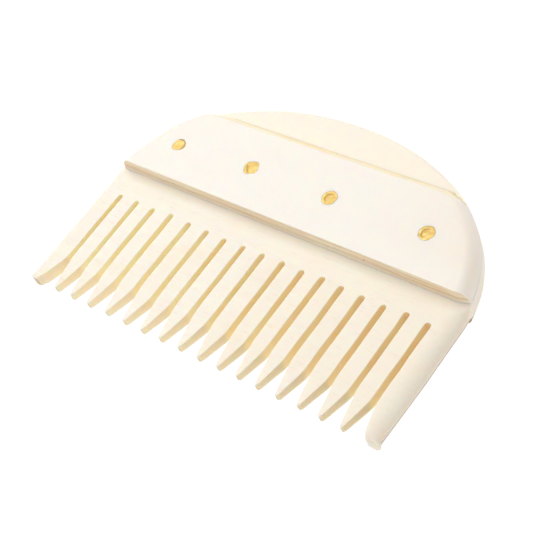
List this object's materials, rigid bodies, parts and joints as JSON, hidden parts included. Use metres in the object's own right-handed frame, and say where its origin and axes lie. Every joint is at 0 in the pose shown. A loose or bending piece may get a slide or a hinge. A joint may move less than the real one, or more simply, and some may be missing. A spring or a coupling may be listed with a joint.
{
  "type": "riveted bone comb",
  "caption": "D-shaped bone comb: one plate sawn into flat tapered teeth, clamped between two bevelled side plates by brass rivets; combs hair or beats weft down on a loom.",
  "frame": {"origin": "middle of the footprint, on the surface that the comb lies on, which its rear side plate's outer face touches", "axes": "+X along the comb's length, +Y from the tooth tips to the rounded back, +Z out of the front side plate"},
  "size_m": [0.0902, 0.0608, 0.0108],
  "materials": {
    "tooth_plate_bone": "satin hand-polished bone, creamy white, golden in the saw cuts",
    "side_plate_bone": "satin polished bone, pinkish white, tan and fibrous on the sawn step",
    "brass": "filed and burnished"
  },
  "bodies": {
    "root": {"tooth_plate": "tooth_plate_bone", "front_side_plate": "side_plate_bone", "rear_side_plate": "side_plate_bone", "rivet_1": "brass", "rivet_2": "brass", "rivet_3": "brass", "rivet_4": "brass"}
  },
  "joints": []
}
